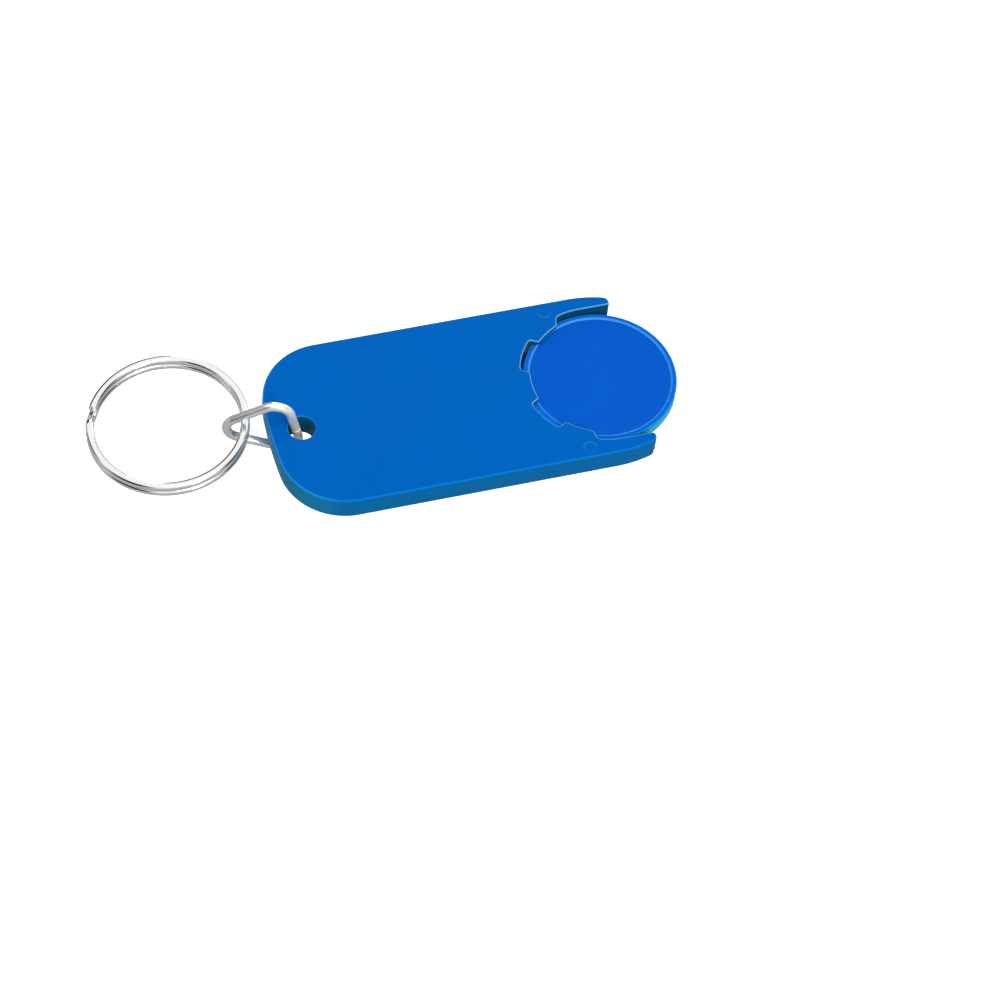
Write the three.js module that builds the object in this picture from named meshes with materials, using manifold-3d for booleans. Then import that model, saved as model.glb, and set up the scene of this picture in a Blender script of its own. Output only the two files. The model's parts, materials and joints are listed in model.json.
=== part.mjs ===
// Trolley and locker token in a key-ring holder: a moulded holder, a push-out token,
// a bent wire link through the holder's hole, and a two-turn split ring for keys.
// Millimetres, +Z up. The holder lies flat with its underside at z = 0 and the middle of
// its length at x = 0. +X points out of the token's mouth, and the keys hang towards -X.
import * as THREE from "three";
import { mergeVertices } from "three/addons/utils/BufferGeometryUtils.js";
import Module from "manifold-3d";

// ---- Token ----
const tokenDiameter = 23.25;
const tokenThickness = 2.25;
const tokenRimWidth = 0.8;
const tokenRecess = 0.22;
const tokenEdgeRadius = 0.25;

// ---- Running clearances ----
const tokenSideGap = 0.475; // token edge to pocket wall
const tokenFaceGap = 0.15; // token face to lip, above and below
const wireHolePlay = 1.35; // link wire to hole wall, all round
const linkPlateGap = 0.95; // link's lower leg below the underside, at the plate's end
const ringLinkSlack = 1.43; // inside of the link's far bend to the inside of the ring
const ringTurnGap = 0.06; // between the two turns of the ring

// ---- Holder ----
const holderLength = 56;
const armWidth = 2.38; // from pocket wall to outer edge, at the pocket's widest
const topLipThickness = 0.72;
const bottomLipThickness = 0.93;
const faceEdgeRadius = 0.35;
const endCornerRadius = 9.9;
const endBowRadius = 70;
const mouthDepth = 5; // arm tips to pocket centre
const armTaperLength = 6.2;
const armTaperInset = 1.05;
const armTipOuterRadius = 0.8;
const armTipInnerRadius = 0.45;
const holeInset = 4.75; // plate end to hole centre

// ---- Lips that hold the token, seen from the pocket centre with 0 deg at the mouth ----
const topLipReach = 1.5;
const topSideLipEdge = 3.85; // flat side of each side lip, behind the pocket centre
const topSideLipEnd = 136.5;
const topBackLipHalfAngle = 14.5;
const bottomLipReach = 1.6;
const tipLipReach = 1.7;
const tipLipStart = 0.15; // in front of the pocket centre
const tipLipCorner = 0.8;
const bottomMidLipStartInner = 142;
const bottomMidLipStartOuter = 138;
const bottomMidLipEdge = 3.8; // flat side of each middle lip, off the centre line
const lipRoot = 0.8; // how far each lip is carried into the wall

// ---- Wire link ----
const linkWire = 1.4;
const linkRise = 6.0; // top corner above the holder's top face
const linkTopOut = 2.55; // top corner, out from the hole's axis
const linkFootIn = 0.55; // bottom corner, back from the hole's axis
const linkReach = 9.3; // far corner past the plate's end
const linkBendRadius = 2.45;
const linkSideShift = 0.45; // the wire rests off the hole's axis, to one side
const linkSwing = 15.5; // deg the link is swung round the hole at rest
const linkButtGap = 0.12;

// ---- Split ring ----
const ringDiameter = 24.3; // over the outside
const ringWireWidth = 1.3;
const ringWireThickness = 1.15;
const ringTilt = 4.5; // deg its far side lies lower than the link
const ringSideShift = 0.4; // off the link's own plane
const ringLift = 0.2; // above the middle of the gap between the link's legs
const ringCrankAt = 176; // deg round the ring from the link to the middle of the crank
const ringCrankAngle = 13;
const ringEndGapAngle = 2;

// ---- Derived ----
const tokenRadius = tokenDiameter / 2;
const pocketRadius = tokenRadius + tokenSideGap;
const pocketHeight = tokenThickness + 2 * tokenFaceGap;
const pocketFloor = bottomLipThickness;
const pocketRoof = pocketFloor + pocketHeight;
const holderThickness = pocketRoof + topLipThickness;
const halfWidth = pocketRadius + armWidth;
const plateEnd = -holderLength / 2;
const mouthEnd = holderLength / 2;
const pocketX = mouthEnd - mouthDepth;
const holeX = plateEnd + holeInset;
const holeRadius = linkWire / 2 + wireHolePlay;
const wireRadius = linkWire / 2;

const wasm = await Module();
wasm.setup();

// Boolean solid of a closed geometry: only positions are kept, and shared corners are merged.
function solidOf(geometry) {
  const bare = geometry.clone();
  bare.deleteAttribute("normal");
  bare.deleteAttribute("uv");
  const merged = mergeVertices(bare, 1e-4);
  const mesh = new wasm.Mesh({
    numProp: 3,
    vertProperties: merged.attributes.position.array,
    triVerts: new Uint32Array(merged.index.array),
  });
  return new wasm.Manifold(mesh);
}

function geometryOf(solid) {
  const mesh = solid.getMesh();
  const geometry = new THREE.BufferGeometry();
  geometry.setAttribute("position", new THREE.BufferAttribute(mesh.vertProperties, 3));
  geometry.setIndex(new THREE.BufferAttribute(mesh.triVerts, 1));
  geometry.computeVertexNormals();
  return geometry;
}

// A prism of a plan outline, from height low to height high.
function prism(shape, low, high, curveSegments = 12) {
  const geometry = new THREE.ExtrudeGeometry(shape, {
    depth: high - low,
    bevelEnabled: false,
    curveSegments,
  });
  return solidOf(geometry.translate(0, 0, low));
}

// A standard material from a colour in sRGB hex and its finish.
function finish(color, roughness, metalness) {
  return new THREE.MeshStandardMaterial({ color, roughness, metalness });
}

const rad = THREE.MathUtils.degToRad;
const deg = THREE.MathUtils.radToDeg;
const CURVE_STEPS = 14;

// ---- Holder ----
// Plan of the plate: bowed hole end, round corners, straight sides, and arms whose outer edges
// curve in to rounded tips. The pocket is cut out of it afterwards.
function plateShape() {
  const cornerY = halfWidth - endCornerRadius;
  const toCorner = endBowRadius - endCornerRadius;
  const cornerX = plateEnd + endBowRadius - Math.sqrt(toCorner ** 2 - cornerY ** 2);
  const meet = Math.PI - Math.asin(cornerY / toCorner);
  const bowX = plateEnd + endBowRadius;
  const tipY = halfWidth - armTaperInset;
  const taperRadius = (armTaperLength ** 2 + armTaperInset ** 2) / (2 * armTaperInset);
  const taperX = mouthEnd - armTaperLength;
  const taperY = halfWidth - taperRadius;
  const taperStart = Math.acos((armTaperLength - armTipOuterRadius) / taperRadius);
  const cornerEndX = taperX + taperRadius * Math.cos(taperStart);
  const cornerEndY = taperY + taperRadius * Math.sin(taperStart);
  const shape = new THREE.Shape();
  shape.moveTo(mouthEnd, 0);
  shape.lineTo(mouthEnd, tipY - armTipOuterRadius);
  shape.quadraticCurveTo(mouthEnd, tipY, cornerEndX, cornerEndY);
  shape.absarc(taperX, taperY, taperRadius, taperStart, Math.PI / 2, false);
  shape.absarc(cornerX, cornerY, endCornerRadius, Math.PI / 2, meet, false);
  shape.absarc(bowX, 0, endBowRadius, meet, 2 * Math.PI - meet, false);
  shape.absarc(cornerX, -cornerY, endCornerRadius, 2 * Math.PI - meet, 1.5 * Math.PI, false);
  shape.absarc(taperX, -taperY, taperRadius, -Math.PI / 2, -taperStart, false);
  shape.quadraticCurveTo(mouthEnd, -tipY, mouthEnd, -tipY + armTipOuterRadius);
  shape.closePath();
  return shape;
}

// Plan of the pocket: a round back, and straight walls whose tips are rounded at the mouth.
function pocketShape() {
  const past = 2;
  const tip = armTipInnerRadius;
  const mouthHalf = pocketRadius + tip;
  const shape = new THREE.Shape();
  shape.moveTo(mouthEnd + past, -mouthHalf);
  shape.lineTo(mouthEnd + past, mouthHalf);
  shape.absarc(mouthEnd - tip, mouthHalf, tip, 0, -Math.PI / 2, true);
  shape.absarc(pocketX, 0, pocketRadius, Math.PI / 2, 1.5 * Math.PI, false);
  shape.absarc(mouthEnd - tip, -mouthHalf, tip, Math.PI / 2, 0, true);
  shape.closePath();
  return shape;
}

// Plan of a lip: a sector between two radii, whose ends may slant because the inner and outer
// arcs each have their own start and end angle, in degrees.
function sectorShape(innerRadius, outerRadius, innerSpan, outerSpan) {
  const shape = new THREE.Shape();
  shape.absarc(pocketX, 0, outerRadius, rad(outerSpan[0]), rad(outerSpan[1]), false);
  shape.absarc(pocketX, 0, innerRadius, rad(innerSpan[1]), rad(innerSpan[0]), true);
  shape.closePath();
  return shape;
}

const mirroredSpan = (span) => [360 - span[1], 360 - span[0]];

function topLipShapes() {
  const inner = pocketRadius - topLipReach;
  const outer = pocketRadius + lipRoot;
  const edgeAngle = (radius) => deg(Math.acos(-topSideLipEdge / radius));
  const sideInner = [edgeAngle(inner), topSideLipEnd];
  const sideOuter = [edgeAngle(outer), topSideLipEnd];
  const back = [180 - topBackLipHalfAngle, 180 + topBackLipHalfAngle];
  return [
    sectorShape(inner, outer, sideInner, sideOuter),
    sectorShape(inner, outer, back, back),
    sectorShape(inner, outer, mirroredSpan(sideInner), mirroredSpan(sideOuter)),
  ];
}

function bottomLipShapes() {
  const inner = pocketRadius - bottomLipReach;
  const outer = pocketRadius + lipRoot;
  const edgeAngle = (radius) => 180 - deg(Math.asin(bottomMidLipEdge / radius));
  const midInner = [bottomMidLipStartInner, edgeAngle(inner)];
  const midOuter = [bottomMidLipStartOuter, edgeAngle(outer)];
  const shapes = [
    sectorShape(inner, outer, midInner, midOuter),
    sectorShape(inner, outer, mirroredSpan(midInner), mirroredSpan(midOuter)),
  ];
  const tipEdge = pocketRadius - tipLipReach;
  for (const side of [-1, 1]) {
    const tipLip = new THREE.Shape();
    tipLip.moveTo(pocketX + tipLipStart, side * tipEdge);
    tipLip.lineTo(mouthEnd - tipLipCorner, side * tipEdge);
    tipLip.quadraticCurveTo(mouthEnd, side * tipEdge, mouthEnd, side * (tipEdge + tipLipCorner));
    tipLip.lineTo(mouthEnd, side * outer);
    tipLip.lineTo(pocketX + tipLipStart, side * outer);
    tipLip.closePath();
    shapes.push(tipLip);
  }
  return shapes;
}

function holderGeometry() {
  const plateGeometry = new THREE.ExtrudeGeometry(plateShape(), {
    depth: holderThickness - 2 * faceEdgeRadius,
    bevelThickness: faceEdgeRadius,
    bevelSize: faceEdgeRadius,
    bevelOffset: -faceEdgeRadius,
    bevelSegments: 3,
    curveSegments: CURVE_STEPS,
  });
  const plate = solidOf(plateGeometry.translate(0, 0, faceEdgeRadius));
  let solid = plate.subtract(prism(pocketShape(), -1, holderThickness + 1, 3 * CURVE_STEPS));
  for (const shape of topLipShapes()) {
    const lip = prism(shape, holderThickness - topLipThickness, holderThickness);
    solid = solid.add(lip.intersect(plate));
  }
  for (const shape of bottomLipShapes()) {
    solid = solid.add(prism(shape, 0, bottomLipThickness).intersect(plate));
  }
  const hole = new THREE.Shape();
  hole.absarc(holeX, 0, holeRadius, 0, 2 * Math.PI, false);
  return geometryOf(solid.subtract(prism(hole, -1, holderThickness + 1, 2 * CURVE_STEPS)));
}

// ---- Token ----
// A disc turned from its half section: a raised round-edged rim on both faces, thin web between.
function tokenGeometry() {
  const half = tokenThickness / 2;
  const web = half - tokenRecess;
  const rimInner = tokenRadius - tokenRimWidth;
  const round = tokenEdgeRadius;
  const edgeArc = [0, 1, 2, 3].map((k) => (k * Math.PI) / 6);
  const upper = edgeArc.map(
    (a) => new THREE.Vector2(
      tokenRadius - round + round * Math.cos(a),
      half - round + round * Math.sin(a),
    ),
  );
  upper.push(new THREE.Vector2(rimInner, half));
  upper.push(new THREE.Vector2(rimInner - tokenRecess, web));
  upper.push(new THREE.Vector2(0, web));
  const lower = upper.map((p) => new THREE.Vector2(p.x, -p.y)).reverse();
  const geometry = new THREE.LatheGeometry([...lower, ...upper], 84);
  return geometry.rotateX(Math.PI / 2);
}

// ---- Wire link ----
// The link lies in an upright plane. In that plane s runs out from the hole's axis towards
// the keys, and z runs up from the holder's underside.
const linkCorners = {
  top: new THREE.Vector2(linkTopOut, holderThickness + linkRise),
  far: new THREE.Vector2(holeInset + linkReach, holderThickness / 2 - 0.1),
  foot: new THREE.Vector2(-linkFootIn, 0),
};
// The foot is low enough for the lower leg to pass under the plate's end with its gap.
const footRise = (linkCorners.far.y + linkPlateGap) / (linkCorners.far.x - holeInset);
linkCorners.foot.y = -linkPlateGap - footRise * (holeInset + linkFootIn);

// A closed wire triangle with round bends, cut open at its butt joint in the hole.
class LinkCurve extends THREE.Curve {
  constructor() {
    super();
    const { top, far, foot } = linkCorners;
    const joint = new THREE.Vector2().lerpVectors(foot, top, this.jointShare());
    const path = new THREE.Path();
    path.moveTo(joint.x, joint.y);
    this.bend(path, joint, top, far);
    this.bend(path, top, far, foot);
    this.bend(path, far, foot, joint);
    path.lineTo(joint.x, joint.y);
    this.path = path;
    this.trim = linkButtGap / 2 / path.getLength();
  }

  // Share of the leg, from foot to top, at which the joint sits: just under the top face.
  jointShare() {
    const { top, foot } = linkCorners;
    return (holderThickness * 0.8 - foot.y) / (top.y - foot.y);
  }

  // Straight run up to the corner, then a round bend on to the next run.
  bend(path, before, corner, after) {
    const back = new THREE.Vector2().subVectors(before, corner).normalize();
    const on = new THREE.Vector2().subVectors(after, corner).normalize();
    const half = Math.acos(back.dot(on)) / 2;
    const run = linkBendRadius / Math.tan(half);
    const inward = new THREE.Vector2().addVectors(back, on).normalize();
    const centre = corner.clone().addScaledVector(inward, linkBendRadius / Math.sin(half));
    const start = corner.clone().addScaledVector(back, run).sub(centre);
    const end = corner.clone().addScaledVector(on, run).sub(centre);
    const clockwise = start.cross(end) < 0;
    path.lineTo(centre.x + start.x, centre.y + start.y);
    path.absarc(centre.x, centre.y, linkBendRadius, start.angle(), end.angle(), clockwise);
  }

  getPoint(t, target = new THREE.Vector3()) {
    const along = this.trim + t * (1 - 2 * this.trim);
    const flat = this.path.getPointAt(along);
    return target.set(-flat.x, 0, flat.y);
  }
}

function roundSection(radius, sides) {
  const points = [];
  for (let k = 0; k < sides; k += 1) {
    const angle = (2 * Math.PI * k) / sides;
    points.push(new THREE.Vector2(radius * Math.cos(angle), radius * Math.sin(angle)));
  }
  return new THREE.Shape(points);
}

function linkGeometry() {
  return new THREE.ExtrudeGeometry(roundSection(wireRadius, 12), {
    steps: 84,
    extrudePath: new LinkCurve(),
    bevelEnabled: false,
  });
}

// ---- Split ring ----
// Middle line of the ring's wire. It makes one turn on the lower level, climbs the crank,
// and makes a second turn on the upper level, so that both ends stop at the crank.
const ringMidRadius = (ringDiameter - ringWireWidth) / 2;
const ringPitch = ringWireThickness + ringTurnGap;

class SplitRingCurve extends THREE.Curve {
  getPoint(t, target = new THREE.Vector3()) {
    const crank = ringCrankAngle;
    const first = crank / 2 + ringEndGapAngle;
    const last = 720 - crank / 2 - ringEndGapAngle;
    const turned = first + t * (last - first);
    const climb = THREE.MathUtils.smoothstep(turned, 360 - crank / 2, 360 + crank / 2);
    const angle = rad(ringCrankAt + turned);
    const height = (climb - 0.5) * ringPitch;
    return target.set(ringMidRadius * Math.cos(angle), ringMidRadius * Math.sin(angle), height);
  }
}

// Flattened wire: the sides that face in and out of the ring are round, and the turns lie flat.
function ringSection() {
  const halfWidthOfWire = ringWireWidth / 2;
  const halfThickness = ringWireThickness / 2;
  const points = [];
  for (let k = 0; k < 12; k += 1) {
    const angle = (2 * Math.PI * (k + 0.5)) / 12;
    const squash = (value) => Math.sign(value) * Math.abs(value) ** 0.6;
    points.push(new THREE.Vector2(
      halfThickness * squash(Math.cos(angle)),
      halfWidthOfWire * squash(Math.sin(angle)),
    ));
  }
  return new THREE.Shape(points);
}

function splitRingGeometry() {
  return new THREE.ExtrudeGeometry(ringSection(), {
    steps: 150,
    extrudePath: new SplitRingCurve(),
    bevelEnabled: false,
  });
}

// Where the ring's wire crosses the link: inside its far bend, half way between the legs.
function ringCrossing() {
  const { top, far, foot } = linkCorners;
  const toTop = new THREE.Vector2().subVectors(top, far).normalize();
  const toFoot = new THREE.Vector2().subVectors(foot, far).normalize();
  const half = Math.acos(toTop.dot(toFoot)) / 2;
  const inward = new THREE.Vector2().addVectors(toTop, toFoot).normalize();
  const toBend = linkBendRadius / Math.sin(half) - linkBendRadius;
  const toWire = toBend + wireRadius + ringLinkSlack + ringWireWidth / 2;
  return far.clone().addScaledVector(inward, toWire);
}

// ---- Assembly ----
const holder = new THREE.Mesh(holderGeometry(), finish(0x0461b8, 0.42, 0));
holder.name = "holder";

const token = new THREE.Mesh(tokenGeometry(), finish(0x005acd, 0.38, 0));
token.name = "token";
token.position.set(pocketX, 0, pocketFloor + pocketHeight / 2);

const link = new THREE.Mesh(linkGeometry(), finish(0xd8d8dc, 0.16, 1));
link.name = "link";

const crossing = ringCrossing();
const splitRing = new THREE.Mesh(splitRingGeometry(), finish(0xdcdce0, 0.12, 1));
splitRing.name = "split_ring";
splitRing.position.set(-ringMidRadius, 0, 0);
const ringPlane = new THREE.Group();
ringPlane.position.set(-crossing.x, ringSideShift, crossing.y + ringLift);
ringPlane.rotation.y = rad(-ringTilt);
ringPlane.add(splitRing);

const linkPlane = new THREE.Group();
linkPlane.position.y = linkSideShift;
linkPlane.add(link, ringPlane);
const swing = new THREE.Group();
swing.position.x = holeX;
swing.rotation.z = rad(-linkSwing);
swing.add(linkPlane);

const assembly = new THREE.Group();
assembly.add(holder, token, swing);

export default assembly;
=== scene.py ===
# Trolley and locker token in its key-ring holder: a moulded holder, the push-out token, a bent
# wire link through the holder's hole, and a two-turn split ring. Metres; +Z is the top face.
import json
import math
import bmesh
import bpy
import numpy as np
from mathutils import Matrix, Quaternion, Vector, geometry


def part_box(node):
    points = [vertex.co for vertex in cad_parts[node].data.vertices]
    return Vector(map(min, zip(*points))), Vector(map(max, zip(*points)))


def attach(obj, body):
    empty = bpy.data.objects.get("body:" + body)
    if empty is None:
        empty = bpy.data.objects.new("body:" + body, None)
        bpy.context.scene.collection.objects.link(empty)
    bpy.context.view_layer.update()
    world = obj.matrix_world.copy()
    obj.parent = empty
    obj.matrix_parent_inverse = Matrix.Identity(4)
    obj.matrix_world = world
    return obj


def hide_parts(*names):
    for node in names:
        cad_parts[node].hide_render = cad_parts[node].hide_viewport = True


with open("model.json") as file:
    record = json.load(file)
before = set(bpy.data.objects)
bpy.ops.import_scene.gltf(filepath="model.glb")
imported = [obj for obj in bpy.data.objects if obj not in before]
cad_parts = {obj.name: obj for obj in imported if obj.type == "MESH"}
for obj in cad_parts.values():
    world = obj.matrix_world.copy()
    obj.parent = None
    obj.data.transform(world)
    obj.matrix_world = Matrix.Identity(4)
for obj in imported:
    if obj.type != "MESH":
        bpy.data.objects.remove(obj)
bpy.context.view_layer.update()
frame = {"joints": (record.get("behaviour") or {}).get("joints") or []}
joints = {joint["name"]: joint for joint in frame["joints"]}
mm = 0.001

# ---- Holder ----
# One flat moulding in blue plastic that grips the token between lips on both faces of a
# half-round pocket. It is injection moulded in two halves of a tool, which leaves a small step
# round its side, and ejector pins leave two faint rounds beside the pocket.
holder_low, holder_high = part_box("holder")
token_low, token_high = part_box("token")
holder_top = holder_high.z
half_width = holder_high.y
plate_end = holder_low.x
mouth_end = holder_high.x
pocket_x = (token_low.x + token_high.x) / 2
pocket_radius = (token_high.x - token_low.x) / 2 + 0.475 * mm
pocket_floor = 0.93 * mm
pocket_roof = 3.48 * mm
end_bow_radius = 70 * mm
end_corner_radius = 9.9 * mm
taper_length = 6.2 * mm
taper_inset = 1.05 * mm
tip_outer_radius = 0.8 * mm
tip_inner_radius = 0.45 * mm
tip_lip_corner = 0.8 * mm
tip_lip_reach = 1.7 * mm
tip_lip_start = 0.15 * mm
top_lip_reach = 1.5 * mm
bottom_lip_reach = 1.6 * mm
outer_edge_radius = 0.35 * mm
lip_edge_radius = 0.22 * mm
lip_corner_radius = 0.36 * mm
support_width = 0.08 * mm
parting_height = 1.15 * mm
parting_step = 0.09 * mm
parting_slope = 0.06 * mm
hole_x = joints["link_swing"]["pos_m"][0]
hole_radius = 2.05 * mm
hole_edge_radius = 0.2 * mm
ejector_radius = 1.05 * mm
ejector_depth = 0.07 * mm
ejector_slope = 0.13 * mm
ejector_places = [(17.7 * mm, -12.75 * mm), (17.7 * mm, 12.75 * mm)]
edge_steps = 5
join_distance = 0.002 * mm
sliver_length = 0.0001 * mm


def arc(centre, radius, start, stop, count):
    """Points (centre + radius cos a, centre + radius sin a) for count angles a, in radians."""
    angle = np.linspace(start, stop, count)
    return np.stack([centre[0] + radius * np.cos(angle), centre[1] + radius * np.sin(angle)], -1)


def line(start, stop, count):
    """Points start (1-t) + stop t for count even values of t from 0 to 1."""
    share = np.linspace(0, 1, count)[:, None]
    return np.array(start) * (1 - share) + np.array(stop) * share


def bezier(start, control, stop, count):
    """Quadratic curve (1-t)^2 start + 2t(1-t) control + t^2 stop."""
    t = np.linspace(0, 1, count)[:, None]
    return (1 - t) ** 2 * np.array(start) + 2 * t * (1 - t) * np.array(control) + t ** 2 * np.array(stop)


def ramp(value, start, stop, reach):
    """0 before start and 1 after stop, straight between, with both corners rounded off: half of
    1 + sqrt(u^2 + s^2) - sqrt((u - 1)^2 + s^2), where u runs from 0 to 1 on the slope and s
    is set so that a slope this high and this long has lip_corner_radius at its corners."""
    u = (value - start) / (stop - start)
    s = lip_corner_radius / math.sqrt((stop - start) * reach / 2)
    return 0.5 * (1 + np.sqrt(u ** 2 + s ** 2) - np.sqrt((u - 1) ** 2 + s ** 2))


def crowded(start, stop, count, places, width, extra=14):
    """Values from start to stop that stand closer together round the given places: equal steps
    of the running total of 1 + extra exp(-((x - place) / width)^2)."""
    fine = np.linspace(start, stop, 6000)
    density = np.ones_like(fine)
    for place in places:
        density += extra * np.exp(-((fine - place) / width) ** 2)
    total = np.concatenate([[0], np.cumsum((density[1:] + density[:-1]) / 2)])
    return np.interp(np.linspace(0, total[-1], count), total, fine)


# The lips, as degrees round the pocket centre from the mouth: each is (start of its first slope,
# end of it, start of its second slope, end of it), at the wall and at the lip's full reach.
top_lips = [(108.6, 111.3, 136.1, 136.9), (165.1, 165.9, 194.1, 194.9)]
bottom_lips = [(138.0, 142.0, 158.8, 161.7)]
lip_sides = [90] + [angle for lip in top_lips + bottom_lips for angle in lip if angle <= 180]


def lip_edge(degrees, lips, reach):
    """Radius of the pocket's edge at each angle: the wall's radius less reach under each lip."""
    share = np.zeros_like(degrees)
    along = np.radians(degrees) * pocket_radius
    for lip in lips:
        first, full, last, end = np.radians(lip) * pocket_radius
        share += ramp(along, first, full, reach) * (1 - ramp(along, last, end, reach))
    return pocket_radius - reach * share


def half_outline(lips, reach, tip_reach, tip_corner):
    """Half of the holder's edge on the +Y side, from the middle of the hole end round the side
    and the arm's tip to the back of the pocket: arcs and lines end to end, the pocket's radius
    less its lips. The last number of each is its count of points, the same in every call, so
    that outlines at different heights match point for point."""
    corner_y = half_width - end_corner_radius
    to_corner = end_bow_radius - end_corner_radius
    corner_x = plate_end + end_bow_radius - math.sqrt(to_corner ** 2 - corner_y ** 2)
    meet = math.pi - math.asin(corner_y / to_corner)
    tip_y = half_width - taper_inset
    taper_radius = (taper_length ** 2 + taper_inset ** 2) / (2 * taper_inset)
    taper_x, taper_y = mouth_end - taper_length, half_width - taper_radius
    taper_stop = math.acos((taper_length - tip_outer_radius) / taper_radius)
    taper = arc((taper_x, taper_y), taper_radius, math.pi / 2, taper_stop, 18)
    wall_x = crowded(mouth_end - tip_corner, pocket_x, 36, [pocket_x + tip_lip_start], 0.3 * mm)
    degrees = crowded(90, 180, 320, lip_sides, 1.2)
    around = np.radians(degrees)
    radius = lip_edge(degrees, lips, reach)
    wall = np.stack([wall_x, np.full_like(wall_x, pocket_radius)], -1)
    back = np.stack([pocket_x + radius * np.cos(around), radius * np.sin(around)], -1)
    if tip_reach:
        for part in (wall, back):
            lip_start, lip_full = pocket_x, pocket_x + 2 * tip_lip_start
            part[:, 1] -= tip_reach * ramp(part[:, 0], lip_start, lip_full, tip_reach)
    inner_y = wall[0, 1]
    parts = [
        arc((plate_end + end_bow_radius, 0), end_bow_radius, math.pi, meet, 16),
        arc((corner_x, corner_y), end_corner_radius, meet, math.pi / 2, 40),
        line((corner_x, half_width), (taper_x, half_width), 50),
        taper,
        bezier(taper[-1], (mouth_end, tip_y), (mouth_end, tip_y - tip_outer_radius), 12),
        line((mouth_end, tip_y - tip_outer_radius), (mouth_end, inner_y + tip_corner), 4),
        arc((mouth_end - tip_corner, inner_y + tip_corner), tip_corner, 0, -math.pi / 2, 12),
        wall,
        back,
    ]
    stations = np.concatenate([np.full(len(p) - 1, i) for i, p in enumerate(parts)] + [[len(parts)]])
    return np.concatenate([p[:-1] for p in parts] + [parts[-1][-1:]]), stations


def whole_outline(half):
    """The half and its mirror image as one loop, anticlockwise from the hole end's middle."""
    mirrored = half * [1, -1]
    return np.concatenate([mirrored[:-1], half[:0:-1]])


def inward(outline):
    """Unit normals of a closed anticlockwise outline, pointing into the material."""
    along = np.roll(outline, -1, 0) - np.roll(outline, 1, 0)
    along /= np.linalg.norm(along, axis=1, keepdims=True)
    return np.stack([-along[:, 1], along[:, 0]], -1)


def level(outline, inset, height):
    """One ring of points: the outline moved into the material by inset, at the given height."""
    flat = outline + inward(outline) * np.broadcast_to(inset, len(outline))[:, None]
    return np.column_stack([flat, np.broadcast_to(height, len(outline))])


def quarter_round(outline, radius, face_height, up, first_inset=0.0):
    """Rings of a quarter-round edge, from its flat face to the wall: at angle a the inset is
    radius (1 - cos a) and the height is radius (1 - sin a) short of the face."""
    angles = np.linspace(math.pi / 2, 0, edge_steps)
    rings = [level(outline, first_inset + radius + support_width, face_height)]
    for a in angles:
        height = face_height - up * radius * (1 - math.sin(a))
        rings.append(level(outline, first_inset + radius * (1 - math.cos(a)), height))
    return rings


def band_faces(rings, columns, first=0):
    """Quads between each ring and the next one down, wrapping round, with the outside out."""
    ring, column = np.meshgrid(np.arange(rings - 1), np.arange(columns), indexing="ij")
    beside = (column + 1) % columns
    a, b = ring * columns, (ring + 1) * columns
    corners = np.stack([a + column, b + column, b + beside, a + beside], -1)
    return corners.reshape(-1, 4) + first


def sheet_faces(loops):
    """Triangles of a flat sheet between closed loops, as indices into the loops put end to end. A
    Delaunay net of all the points is cut down to the triangles whose middle has an odd number
    of loop edges on its right."""
    flat = np.concatenate(loops)[:, :2]
    starts = np.cumsum([0] + [len(loop) for loop in loops])
    following = np.concatenate([np.roll(np.arange(a, b), -1) for a, b in zip(starts[:-1], starts[1:])])
    edges = np.stack([np.arange(len(flat)), following], -1)
    net = geometry.delaunay_2d_cdt([Vector(p) for p in flat / mm], edges.tolist(), [], 0, 1e-6)
    original = np.array([source[0] for source in net[3]])
    triangles = original[np.array(net[2])]
    middle = flat[triangles].mean(1)
    start, end = flat[edges[:, 0]], flat[edges[:, 1]]
    level_with = (start[:, 1] > middle[:, 1:]) != (end[:, 1] > middle[:, 1:])
    with np.errstate(divide="ignore", invalid="ignore"):
        slope = (end[:, 0] - start[:, 0]) / (end[:, 1] - start[:, 1])
        crossing = start[:, 0] + (middle[:, 1:] - start[:, 1]) * slope
    on_right = level_with & (crossing > middle[:, :1])
    return triangles[on_right.sum(1) % 2 == 1]


def make_piece(name, points, faces, sharp_angle, material, body, node, slot_name):
    """The mesh object: coincident points joined, pairs of faces that lie folded on each other
    taken out, smooth shading up to sharp_angle, riding on its body in place of its CAD node."""
    mesh = bpy.data.meshes.new(name)
    mesh.from_pydata(points, [], faces)
    work = bmesh.new()
    work.from_mesh(mesh)
    bmesh.ops.remove_doubles(work, verts=work.verts, dist=join_distance)
    bmesh.ops.dissolve_degenerate(work, edges=work.edges, dist=sliver_length)
    same_corners = {}
    for face in work.faces:
        same_corners.setdefault(frozenset(face.verts), []).append(face)
    folded = [face for group in same_corners.values() if len(group) == 2 for face in group]
    bmesh.ops.delete(work, geom=folded, context="FACES")
    work.to_mesh(mesh)
    work.free()
    mesh.shade_smooth()
    mesh.set_sharp_from_angle(angle=math.radians(sharp_angle))
    mesh.materials.append(material)
    piece = bpy.data.objects.new(name, mesh)
    bpy.context.scene.collection.objects.link(piece)
    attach(piece, body)
    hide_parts(node)
    return piece


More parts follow.
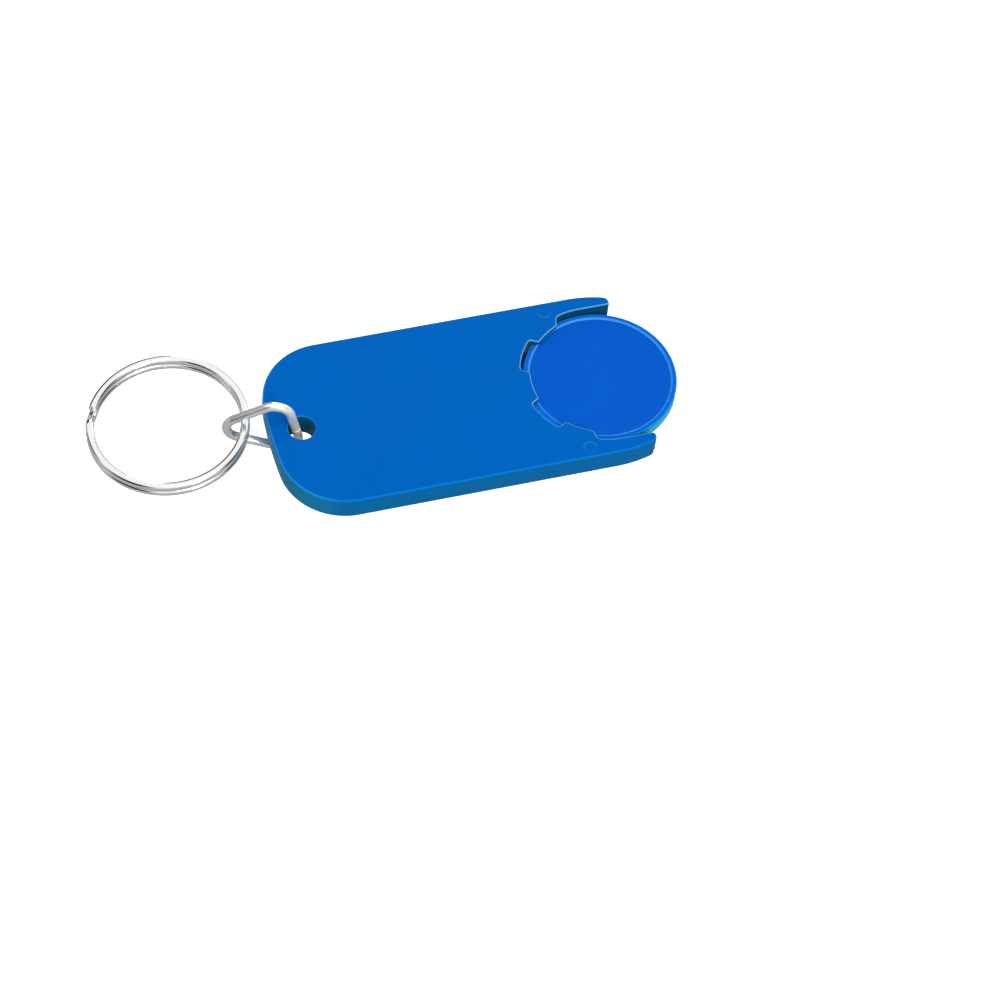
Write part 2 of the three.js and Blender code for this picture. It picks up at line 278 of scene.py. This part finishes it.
def holder_surface():
    """The holder's skin: one band of rings round the whole edge from face to face, a band down
    the hole and round each ejector mark, and flat sheets that join them."""
    top, stations = half_outline(top_lips, top_lip_reach, 0.0, tip_inner_radius)
    middle, _ = half_outline([], 0.0, 0.0, tip_inner_radius)
    bottom, _ = half_outline(bottom_lips, bottom_lip_reach, tip_lip_reach, tip_lip_corner)
    round_half = np.interp(stations, [5, 7], [outer_edge_radius, lip_edge_radius])
    edge = np.concatenate([round_half[:-1], round_half[:0:-1]])
    outside_half = np.interp(stations, [5, 6.5], [1.0, 0.0])
    outside = np.concatenate([outside_half[:-1], outside_half[:0:-1]])
    top, middle, bottom = whole_outline(top), whole_outline(middle), whole_outline(bottom)
    step = parting_step * outside
    rings = quarter_round(top, edge, holder_top, 1)
    rings += [
        level(top, 0, pocket_roof),
        level(middle, 0, pocket_roof),
        level(middle, 0, parting_height + parting_slope),
        level(middle, step, parting_height),
        level(middle, step, pocket_floor),
        level(bottom, step, pocket_floor),
    ]
    rings += quarter_round(bottom, edge, 0, -1, step)[::-1]
    count = len(top)
    points = [np.concatenate(rings)]
    faces = [band_faces(len(rings), count)]
    made = len(rings) * count
    top_loops = [rings[0]]
    bottom_loops = [rings[-1]]
    top_starts = [0]
    bottom_starts = [made - count]

    hole = arc((hole_x, 0), hole_radius, 2 * math.pi, 0, 73)[:-1]
    hole_rings = quarter_round(hole, hole_edge_radius, holder_top, 1)
    hole_rings += quarter_round(hole, hole_edge_radius, 0, -1)[::-1]
    points.append(np.concatenate(hole_rings))
    faces.append(band_faces(len(hole_rings), len(hole), made))
    top_loops.append(hole_rings[0])
    top_starts.append(made)
    made += len(hole_rings) * len(hole)
    bottom_loops.append(hole_rings[-1])
    bottom_starts.append(made - len(hole))

    discs = []
    for place in ejector_places:
        rim = arc(place, ejector_radius, 2 * math.pi, 0, 41)[:-1]
        mark = [
            level(rim, support_width, holder_top),
            level(rim, 0, holder_top),
            level(rim, -ejector_slope, holder_top - ejector_depth),
            level(rim, -2 * ejector_slope, holder_top - ejector_depth),
        ]
        points.append(np.concatenate(mark))
        faces.append(band_faces(len(mark), len(rim), made))
        top_loops.append(mark[0])
        top_starts.append(made)
        made += len(mark) * len(rim)
        discs.append(list(range(made - 1, made - 1 - len(rim), -1)))

    sheets = []
    for loops, starts, up in ((top_loops, top_starts, True), (bottom_loops, bottom_starts, False)):
        index = np.concatenate([start + np.arange(len(loop)) for loop, start in zip(loops, starts)])
        flat = np.concatenate(loops)[:, :2]
        triangles = sheet_faces(loops)
        a, b, c = (flat[triangles[:, k]] for k in range(3))
        area = (b[:, 0] - a[:, 0]) * (c[:, 1] - a[:, 1]) - (b[:, 1] - a[:, 1]) * (c[:, 0] - a[:, 0])
        wrong = (area > 0) != up
        triangles[wrong] = triangles[wrong][:, ::-1]
        sheets.append(index[triangles])
    every_face = [face for group in faces + sheets for face in group.tolist()] + discs
    return np.concatenate(points), every_face


class Socket:
    """A number on its way through a material: + - * / and ** on it add Math nodes."""

    def __init__(self, finish, output):
        self.finish = finish
        self.output = output

    def maths(self, operation, first, second):
        return self.finish.node("ShaderNodeMath", {"operation": operation}, {0: first, 1: second})

    def __add__(self, other):
        return self.maths("ADD", self, other)

    def __sub__(self, other):
        return self.maths("SUBTRACT", self, other)

    def __rsub__(self, other):
        return self.maths("SUBTRACT", other, self)

    def __mul__(self, other):
        return self.maths("MULTIPLY", self, other)

    def __truediv__(self, other):
        return self.maths("DIVIDE", self, other)

    def __pow__(self, other):
        return self.maths("POWER", self, other)

    __radd__ = __add__
    __rmul__ = __mul__


# How flat the surface is, as the height of its unit normal: where a wall gives way to the round
# of an edge, and where that gives way to the face.
wall_to_round = (0.15, 0.45)
round_to_face = (0.88, 0.998)


class Finish:
    """The nodes of a material or of the world, whose shader is already there. node() adds any
    other: its settings first, then its inputs."""

    def __init__(self, owner, shader="Principled BSDF"):
        owner.use_nodes = True
        self.owner = owner
        self.tree = owner.node_tree
        self.shader = self.tree.nodes[shader]

    def node(self, kind, settings, inputs, output=0):
        made = self.tree.nodes.new(kind)
        for key, value in settings.items():
            if key == "stops":
                self.set_stops(made.color_ramp, value)
            else:
                setattr(made, key, value)
        self.connect(made, inputs)
        return Socket(self, made.outputs[output])

    def set_stops(self, ramp_of_node, stops):
        while len(ramp_of_node.elements) < len(stops):
            ramp_of_node.elements.new(1)
        for element, (position, colour) in zip(ramp_of_node.elements, stops):
            element.position = position
            element.color = colour

    def connect(self, made, inputs):
        for key, value in inputs.items():
            if isinstance(value, Socket):
                self.tree.links.new(value.output, made.inputs[key])
            else:
                made.inputs[key].default_value = value

    def place(self):
        return self.node("ShaderNodeTexCoord", {}, {}, "Object")

    def fade(self, value, start, stop):
        """0 where value is at start or short of it, 1 at stop or past it, smooth between."""
        inputs = {"Value": value, "From Min": start, "From Max": stop}
        return self.node("ShaderNodeMapRange", {"interpolation_type": "SMOOTHSTEP"}, inputs)

    def by_slope(self, wall, edge, face):
        """Colour by how steep the surface is: wall where it is upright, face where it is flat,
        and edge on the rounds between. It paints light and shade by slope: the edge colour is a
        painted highlight, and the wall colour is the painted light or shade a wall gets."""
        normal = self.node("ShaderNodeTexCoord", {}, {}, "Normal")
        upward = self.node("ShaderNodeSeparateXYZ", {}, {0: normal}, "Z")
        flatness = self.node("ShaderNodeMath", {"operation": "ABSOLUTE"}, {0: upward})
        rounded = self.between(self.fade(flatness, *wall_to_round), wall, edge)
        return self.between(self.fade(flatness, *round_to_face), rounded, face)

    def noise(self, per_metre, detail, place):
        """Cloudy noise, 0 to 1, with this many cells to the metre."""
        inputs = {"Vector": place, "Scale": per_metre, "Detail": detail}
        return self.node("ShaderNodeTexNoise", {}, inputs)

    def between(self, share, low, high):
        """Colour that goes from low to high as share goes from 0 to 1."""
        settings = {"data_type": "RGBA"}
        return self.node("ShaderNodeMix", settings, {0: share, 6: low, 7: high}, 2)

    def bump(self, height, distance, strength):
        """The surface's normal, tilted as if height, 0 to 1, stood up by distance."""
        inputs = {"Height": height, "Distance": distance, "Strength": strength}
        return self.node("ShaderNodeBump", {}, inputs)


def linear(red, green, blue):
    """Screen colour from 0 to 255 as the linear colour a socket takes."""
    share = np.array([red, green, blue]) / 255
    value = np.where(share <= 0.04045, share / 12.92, ((share + 0.055) / 1.055) ** 2.4)
    return (*value.tolist(), 1.0)


# Where the painted tones of the walls and edges begin and are full: painted shade on the walls
# and a paler painted highlight on the edges past the pocket's side and back, painted shade on the
# walls of the hole, as a share of its radius, and painted light on walls and outer edges from the key
# end.
pocket_shade_and_highlight = (0.9 * mm, 0.3 * mm)
pocket_back_shade_and_highlight = (1.4 * mm, 0.8 * mm)
hole_tone = (1.3, 1.1)
key_end_painted_light = (9 * mm, 3 * mm)


def holder_finish():
    """Blue plastic from a lightly spark-eroded tool: a fine grain in the gloss, slow clouds of
    flow in the colour, and a few dull rubs. Light and shade are painted into the colour by
    slope: paler rounds as painted highlights on the edges, palest round the pocket, and outer
    walls in a paler blue as painted light from the floor. Walls inside the pocket and the hole
    get painted shade, and walls and outer edges are painted lighter at the key end."""
    finish = Finish(bpy.data.materials.new("blue moulded plastic"))
    place = finish.place()
    clouds = finish.noise(90, 3, place)
    grain = finish.noise(5200, 2, place)
    rubs = finish.noise(420, 6, place)
    face = finish.between(clouds, linear(0, 88, 170), linear(0, 92, 178))
    along = finish.node("ShaderNodeSeparateXYZ", {}, {0: place}, "X")
    across = finish.node("ShaderNodeSeparateXYZ", {}, {0: place}, "Y")
    off_middle = finish.node("ShaderNodeMath", {"operation": "ABSOLUTE"}, {0: across})
    pocket_back = pocket_x - pocket_radius
    in_pocket = finish.fade(off_middle, pocket_radius + pocket_shade_and_highlight[0], pocket_radius + pocket_shade_and_highlight[1])
    in_pocket = in_pocket * finish.fade(along, pocket_back - pocket_back_shade_and_highlight[0], pocket_back - pocket_back_shade_and_highlight[1])
    from_hole = (along - hole_x) ** 2 + across ** 2
    hole_tone_ends = [(hole_radius * share) ** 2 for share in hole_tone]
    in_hole = finish.fade(from_hole, *hole_tone_ends)
    # Painted light: walls and outer edges are painted lighter towards the key end, as if lit from that
    # side.
    key_end = finish.fade(along, plate_end + key_end_painted_light[0], plate_end + key_end_painted_light[1])
    # Painted highlight: the outer edge rounds are paler than the face.
    outer_edge = finish.between(key_end, linear(10, 114, 198), linear(22, 138, 218))
    # Painted highlight: the edges round the pocket's lips and arms are paler still.
    edge = finish.between(in_pocket, outer_edge, linear(100, 165, 214))
    # Painted light: the outer walls are a paler, greener blue than the face, as if lit from the floor.
    outer_wall_painted_light = finish.between(key_end, linear(0, 114, 180), linear(24, 138, 190))
    # Painted shade: walls inside the pocket and the hole are darker.
    wall = finish.between(in_pocket + in_hole, outer_wall_painted_light, linear(10, 90, 124))
    tone = finish.by_slope(wall, edge, face)
    finish.connect(finish.shader, {
        "Base Color": tone,
        "Roughness": 0.28 + rubs * 0.08 + grain * 0.05,
        "Normal": finish.bump(grain + rubs * 0.4, 0.004 * mm, 0.5),
        "Specular IOR Level": 0.04,
        "Specular Tint": (0.1, 0.5, 1.0, 1.0),
    })
    return finish.owner


points, faces = holder_surface()
make_piece("holder_moulding", points, faces, 35, holder_finish(), "holder", "holder", "holder_plastic")

# ---- Token ----
# A coin-size disc in a glossier, slightly clear blue plastic: a thin web with a rounded rim
# standing proud on both faces. It is moulded whole, and pushed into the holder's pocket.
token_radius = (token_high.x - token_low.x) / 2
token_middle = (token_low.z + token_high.z) / 2
token_half = (token_high.z - token_low.z) / 2
web_half = token_half - 0.22 * mm
rim_width = 0.8 * mm
rim_shoulder = 0.16 * mm
rim_fillet = 0.18 * mm
token_edge_radius = 0.28 * mm
token_sides = 256
shoulder_lean = 0.25
# Where the painted highlight on the edge rounds turns from the shoulder's paler tone to the outer
# edge's, in from the token's edge.
edge_highlight_band = (0.5 * mm, 0.35 * mm)
rim_band = 0.15 * mm


def token_profile():
    """Half section (radius, height) from the middle of the upper face to that of the lower:
    web, hollow fillet, rim shoulder, slightly crowned rim top, edge round and side."""
    rim_inner = token_radius - rim_width
    web_radius = np.linspace(0, rim_inner - rim_fillet, 10)
    web = np.stack([web_radius, np.full_like(web_radius, web_half)], -1)
    fillet_centre = (rim_inner - rim_fillet, web_half + rim_fillet)
    fillet = arc(fillet_centre, rim_fillet, -math.pi / 2, -shoulder_lean, 7)
    shoulder_centre = (fillet[-1, 0] + rim_shoulder, token_half - rim_shoulder)
    shoulder = arc(shoulder_centre, rim_shoulder, math.pi - shoulder_lean, math.pi / 2, 7)
    edge_centre = (token_radius - token_edge_radius, token_half - token_edge_radius)
    edge = arc(edge_centre, token_edge_radius, math.pi / 2, 0, 9)
    side = line(edge[-1], (token_radius, 0), 4)
    upper = np.concatenate([web, fillet[1:], shoulder, edge, side[1:]])
    return np.concatenate([upper, upper[-2::-1] * [1, -1]])


def token_surface():
    """The profile turned round the token's axis: (r cos a, r sin a, z), with clockwise steps."""
    profile = token_profile()
    angle = np.linspace(0, 2 * math.pi, token_sides + 1)[:-1]
    radius, height = profile[:, :1], profile[:, 1:]
    x = pocket_x + radius * np.cos(angle)
    y = radius * np.sin(angle)
    z = np.broadcast_to(token_middle + height, x.shape)
    return np.stack([x, y, z], -1).reshape(-1, 3), band_faces(len(profile), token_sides).tolist()


def token_finish():
    """Clearer blue plastic, smoother than the holder's, with a fine grain, and its rim's top a
    little lighter blue than the web. Its edge rounds are paler as a painted highlight, palest on
    the rim's shoulder, and its side is a pale cyan as painted light from the floor."""
    finish = Finish(bpy.data.materials.new("blue token plastic"))
    place = finish.place()
    clouds = finish.noise(140, 2, place)
    grain = finish.noise(6000, 2, place)
    face = finish.between(clouds, linear(0, 78, 180), linear(0, 82, 188))
    from_middle = finish.node("ShaderNodeVectorMath", {"operation": "DISTANCE"},
                              {0: place, 1: (pocket_x, 0, token_middle)}, "Value")
    # Painted highlight: the edge rounds are paler, palest on the rim's shoulder.
    outside = finish.fade(from_middle, token_radius - edge_highlight_band[0], token_radius - edge_highlight_band[1])
    edge = finish.between(outside, linear(70, 155, 228), linear(0, 135, 226))
    rim_inner = token_radius - rim_width
    on_rim = finish.fade(from_middle, rim_inner, rim_inner + rim_band)
    face = finish.between(on_rim, face, linear(0, 92, 198))
    # Painted light: the side is a pale cyan, as if lit from the floor.
    tone = finish.by_slope(linear(24, 188, 212), edge, face)
    finish.connect(finish.shader, {
        "Base Color": tone,
        "Roughness": 0.22 + grain * 0.08,
        "Normal": finish.bump(grain, 0.003 * mm, 0.4),
        "Specular IOR Level": 0.18,
        "Specular Tint": (0.05, 0.5, 1.0, 1.0),
    })
    return finish.owner


points, faces = token_surface()
make_piece("token_disc", points, faces, 60, token_finish(), "token", "token", "token_plastic")

# ---- Wire link ----
# A length of bright nickel-plated wire bent into a rounded triangle through the holder's hole,
# closed with a plain butt joint that sits inside the hole.
link_wire_radius = 0.7 * mm
link_top = np.array([2.55, 10.2]) * mm
link_far = np.array([14.05, 2.0]) * mm
link_foot = np.array([-0.55, -2.631]) * mm
link_bend_radius = 2.45 * mm
link_side_shift = 0.45 * mm
link_swing = -math.atan2(joints["ring_swing"]["axis"][0], joints["ring_swing"]["axis"][1])
link_joint_height = 3.36 * mm
link_joint_gap = 0.12 * mm
link_sides = 28
link_spacing = 0.25 * mm
bend_points = 60
cut_round = 0.1 * mm
cut_steps = 4


def rounded_path(corners, start, radius, spacing):
    """A closed polygon with round bends, as evenly spaced points from start back to start."""
    pieces = [np.array([start])]
    for k in range(len(corners)):
        before = corners[k - 1] if k else start
        after = corners[k + 1] if k + 1 < len(corners) else start
        back = (before - corners[k]) / np.linalg.norm(before - corners[k])
        on = (after - corners[k]) / np.linalg.norm(after - corners[k])
        half = math.acos(back @ on) / 2
        centre = corners[k] + (back + on) / np.linalg.norm(back + on) * radius / math.sin(half)
        first = corners[k] + back * radius / math.tan(half) - centre
        last = corners[k] + on * radius / math.tan(half) - centre
        start_angle = math.atan2(first[1], first[0])
        turn = math.atan2(last[1], last[0]) - start_angle
        turn = (turn + math.pi) % (2 * math.pi) - math.pi
        pieces.append(arc(centre, radius, start_angle, start_angle + turn, bend_points))
    pieces.append(np.array([start]))
    rough = np.concatenate(pieces)
    run = np.concatenate([[0], np.cumsum(np.linalg.norm(np.diff(rough, axis=0), axis=1))])
    stations = np.linspace(0, run[-1], int(run[-1] / spacing))
    return np.stack([np.interp(stations, run, rough[:, axis]) for axis in range(2)], -1)


def swept(path, across, upward, section):
    """A section carried along a path: path + across u + upward v for each section point (u, v),
    with the two ends drawn in over a small round and closed."""
    along = np.gradient(path, axis=0)
    along /= np.linalg.norm(along, axis=1, keepdims=True)
    start, stop = path[0], path[-1]
    angles = np.linspace(0, math.pi / 2, cut_steps)
    shrink = 1 - cut_round / np.abs(section).max() * (1 - np.sin(angles))
    body = path[:, None] + across[:, None] * section[:, :1] + upward[:, None] * section[:, 1:]
    first = [
        start + along[0] * (cut_round * (1 - math.cos(a)))
        + (across[0] * section[:, :1] + upward[0] * section[:, 1:]) * share
        for a, share in zip(angles, shrink)
    ]
    last = [
        stop - along[-1] * (cut_round * (1 - math.cos(a)))
        + (across[-1] * section[:, :1] + upward[-1] * section[:, 1:]) * share
        for a, share in zip(angles, shrink)
    ]
    centre_first = np.broadcast_to(start, first[0].shape)
    centre_last = np.broadcast_to(stop, last[0].shape)
    rings = [centre_first, *first, *body[1:-1], *last[::-1], centre_last]
    return np.concatenate(rings), band_faces(len(rings), len(section))


def link_surface():
    """The round wire swept along the triangle, in the upright plane through the hole."""
    leg = link_top - link_foot
    joint = link_foot + leg * (link_joint_height - link_foot[1]) / leg[1]
    flat = rounded_path([link_top, link_far, link_foot], joint, link_bend_radius, link_spacing)
    trim = link_joint_gap / 2
    flat[0] = joint + leg / np.linalg.norm(leg) * trim
    flat[-1] = joint - leg / np.linalg.norm(leg) * trim
    out = np.array([-math.cos(link_swing), -math.sin(link_swing), 0])
    side = np.array([-math.sin(link_swing), math.cos(link_swing), 0])
    up = np.array([0, 0, 1.0])
    origin = np.array([hole_x, 0, 0]) + side * link_side_shift
    path = origin + flat[:, :1] * out + flat[:, 1:] * up
    along = np.gradient(path, axis=0)
    along /= np.linalg.norm(along, axis=1, keepdims=True)
    across = np.broadcast_to(side, path.shape)
    upward = np.cross(across, along)
    section = arc((0, 0), link_wire_radius, 0, 2 * math.pi, link_sides + 1)[:-1]
    return swept(path, across, upward, section)


# Where the plate turns duller begins and is full, from the holder's end: less metallic on the
# wires near the holder, and more so and warmer in colour on the leg in its hole, so that they
# mirror less of the blue holder.
near_holder_reach = (-9 * mm, -1 * mm)
over_holder_reach = (-0.5 * mm, 2.5 * mm)


def metal_finish(name, tint, metallic, roughness):
    """Bright nickel plate over drawn wire: fine hair lines and a soft haze in the gloss."""
    finish = Finish(bpy.data.materials.new(name))
    place = finish.place()
    haze = finish.noise(600, 4, place)
    hair = finish.noise(4200, 3, place)
    along = finish.node("ShaderNodeSeparateXYZ", {}, {0: place}, "X")
    over_holder = finish.fade(along, plate_end + over_holder_reach[0], plate_end + over_holder_reach[1])
    near_holder = finish.fade(along, plate_end + near_holder_reach[0], plate_end + near_holder_reach[1])
    plate = finish.between(haze, tint, linear(236, 236, 236))
    finish.connect(finish.shader, {
        "Base Color": finish.between(over_holder, plate, linear(250, 244, 230)),
        "Metallic": metallic - near_holder * 0.3 - over_holder * 0.3,
        "Roughness": roughness + haze * 0.06 + near_holder * 0.04 + over_holder * 0.08,
        "Normal": finish.bump(hair + haze, 0.003 * mm, 0.25),
    })
    return finish.owner


points, faces = link_surface()
link_metal = metal_finish("bright nickel link wire", linear(228, 228, 228), 0.95, 0.07)
make_piece("wire_link", points, faces.tolist(), 50, link_metal, "link", "link", "link_wire")

# ---- Split ring ----
# Flattened nickel-plated spring wire wound in two turns that lie on each other, with a crank
# where the wire climbs from the lower turn to the upper one. Keys are threaded between the turns.
ring_diameter = 24.3 * mm
ring_wire_width = 1.3 * mm
ring_wire_thickness = 1.15 * mm
ring_turn_gap = 0.06 * mm
ring_tilt = math.radians(4.5)
ring_crank_at = 176
ring_crank_angle = 13
ring_end_gap_angle = 2
ring_mid_radius = (ring_diameter - ring_wire_width) / 2
ring_sides = 40
ring_stations = 900
ring_section_power = 0.9


def ring_surface():
    """Two turns of a superellipse section round the ring's axis. Height follows a smooth step
    from the lower turn to the upper one over the crank."""
    first = ring_crank_angle / 2 + ring_end_gap_angle
    turned = np.linspace(first, 720 - first, ring_stations)
    climb = np.clip((turned - 360) / ring_crank_angle + 0.5, 0, 1)
    climb = climb * climb * (3 - 2 * climb)
    height = (climb - 0.5) * (ring_wire_thickness + ring_turn_gap)
    angle = np.radians(ring_crank_at + turned)
    flat = arc((-ring_mid_radius, 0), ring_mid_radius, angle[0], angle[-1], len(angle))
    local = np.column_stack([flat, height])
    around = np.linspace(0, 2 * math.pi, ring_sides + 1)[:-1]
    across, above = np.cos(around), np.sin(around)
    width = ring_wire_width / 2 * np.sign(across) * np.abs(across) ** ring_section_power
    thickness = ring_wire_thickness / 2 * np.sign(above) * np.abs(above) ** ring_section_power
    swing = np.array([
        [math.cos(link_swing), -math.sin(link_swing), 0],
        [math.sin(link_swing), math.cos(link_swing), 0],
        [0, 0, 1],
    ])
    tilt = np.array([
        [math.cos(ring_tilt), 0, -math.sin(ring_tilt)],
        [0, 1, 0],
        [math.sin(ring_tilt), 0, math.cos(ring_tilt)],
    ])
    turn = swing @ tilt
    path = np.array(joints["ring_swing"]["pos_m"]) + local @ turn.T
    radial = np.stack([np.cos(angle), np.sin(angle), np.zeros_like(angle)], -1) @ turn.T
    along = np.gradient(path, axis=0)
    along /= np.linalg.norm(along, axis=1, keepdims=True)
    upward = np.cross(radial, along)
    return swept(path, radial, upward, np.stack([width, thickness], -1))


points, faces = ring_surface()
ring_metal = metal_finish("bright nickel spring wire", linear(230, 230, 230), 1.0, 0.07)
ring_names = ("split_ring", "split_ring", "ring_wire")
make_piece("split_ring_wire", points, faces.tolist(), 50, ring_metal, *ring_names)

# ---- Floor, light and camera ----
# A plain pale floor, far enough down for the ring to hang free of it, under a white room and
# large soft boxes. The floor and the room are white to the camera, whatever light they give.
floor_clearance = 2 * mm
floor_height = joints["ring_swing"]["pos_m"][2] - ring_diameter - floor_clearance
floor_half = 1.5
white = (0.9, 0.9, 0.9, 1.0)
black = (0.0, 0.0, 0.0, 1.0)


def make_floor():
    sides = [(-1, -1), (1, -1), (1, 1), (-1, 1)]
    corners = [(x * floor_half, y * floor_half, floor_height) for x, y in sides]
    mesh = bpy.data.meshes.new("floor")
    mesh.from_pydata(corners, [], [(0, 1, 2, 3)])
    finish = Finish(bpy.data.materials.new("pale floor"))
    seen = finish.node("ShaderNodeLightPath", {}, {}, "Is Camera Ray")
    finish.connect(finish.shader, {
        "Base Color": finish.between(seen, linear(164, 164, 164), linear(215, 215, 215)),
        "Roughness": 0.7,
        "Emission Color": finish.between(seen, black, white),
        "Emission Strength": 1.0,
    })
    mesh.materials.append(finish.owner)
    floor = bpy.data.objects.new("floor", mesh)
    bpy.context.scene.collection.objects.link(floor)


def towards(azimuth, elevation):
    """Unit direction of a point round the object. Azimuth 0 is -Y and 90 is +X, in degrees."""
    a, e = math.radians(azimuth), math.radians(elevation)
    return Vector((math.sin(a) * math.cos(e), -math.cos(a) * math.cos(e), math.sin(e)))


box_distance = 0.8


def soft_box(name, azimuth, elevation, size, power):
    """A square lamp that faces the object from that azimuth and elevation."""
    lamp = bpy.data.lights.new(name, "AREA")
    lamp.shape = "SQUARE"
    lamp.size = size
    lamp.energy = power
    stand = bpy.data.objects.new(name, lamp)
    bpy.context.scene.collection.objects.link(stand)
    back = towards(azimuth, elevation)
    stand.location = back * box_distance
    stand.rotation_euler = (-back).to_track_quat("-Z", "Y").to_euler()


# Dark cards round the set, which draw the lines along bright wire: (azimuth, elevation, half
# width) in degrees, each full dark over card_core of its width. The greys are (height, brightness)
# of the room as it lights the object, and as it is mirrored.
dark_cards = [(-64, 24, 31), (70, 24, 26), (-170, 12, 28), (-121, 24, 17)]
lit_greys = [(0.0, 0.03), (0.45, 0.05), (0.56, 0.98), (0.8, 1.03), (1.0, 1.03)]
card_core = 0.6
card_depth = 0.97
mirrored_greys = [(0.0, 0.55), (0.2, 0.7), (0.45, 0.92), (0.6, 1.1), (1.0, 1.1)]


def make_world():
    """A white room whose light falls off overhead and at the horizon, with the dark cards in it."""
    world = bpy.data.worlds.new("studio")
    finish = Finish(world, "Background")
    place = finish.node("ShaderNodeTexCoord", {}, {}, "Generated")
    height = finish.node("ShaderNodeSeparateXYZ", {}, {0: place}, "Z")
    rooms = []
    for greys in (lit_greys, mirrored_greys):
        stops = [(position, (grey, grey, grey, 1)) for position, grey in greys]
        rooms.append(finish.node("ShaderNodeValToRGB", {"stops": stops}, {0: height}))
    mirrored = finish.node("ShaderNodeLightPath", {}, {}, "Is Glossy Ray")
    seen = finish.node("ShaderNodeLightPath", {}, {}, "Is Camera Ray")
    shade = 1
    for azimuth, elevation, spread in dark_cards:
        near = finish.node("ShaderNodeVectorMath", {"operation": "DOT_PRODUCT"},
                           {0: place, 1: towards(azimuth, elevation)}, "Value")
        edge = math.cos(math.radians(spread))
        soft = math.cos(math.radians(spread * card_core)) - edge
        card = finish.node("ShaderNodeMath", {"operation": "MULTIPLY", "use_clamp": True},
                           {0: (near - edge) / soft, 1: card_depth})
        shade = shade * (1 - card)
    carded = finish.between(shade, black, rooms[1])
    room = finish.between(mirrored, rooms[0], carded)
    finish.connect(finish.shader, {"Color": finish.between(seen, room, white)})
    bpy.context.scene.world = world


camera_azimuth = -21.64
camera_elevation = 55.74
camera_roll = 7.44
camera_distance = 612.4 * mm
camera_aim = (2.02 * mm, -18.91 * mm, 4.2 * mm)
camera_lens = 150.26
sensor_width = 36


def make_camera():
    data = bpy.data.cameras.new("camera")
    data.lens = camera_lens
    data.sensor_width = sensor_width
    camera = bpy.data.objects.new("camera", data)
    bpy.context.scene.collection.objects.link(camera)
    back = towards(camera_azimuth, camera_elevation)
    camera.location = Vector(camera_aim) + back * camera_distance
    roll = Quaternion((0, 0, 1), math.radians(camera_roll))
    camera.rotation_mode = "QUATERNION"
    camera.rotation_quaternion = (-back).to_track_quat("-Z", "Y") @ roll
    bpy.context.scene.camera = camera


make_floor()
make_world()
soft_box("key box", 10, 74, 0.4, 1.8)
soft_box("front box", 14, 32, 0.16, 1.8)
soft_box("back box", 168, 14, 0.14, 0.9)
soft_box("mouth box", 124, 24, 0.14, 0.9)
make_camera()
bpy.context.scene.view_settings.view_transform = "Standard"
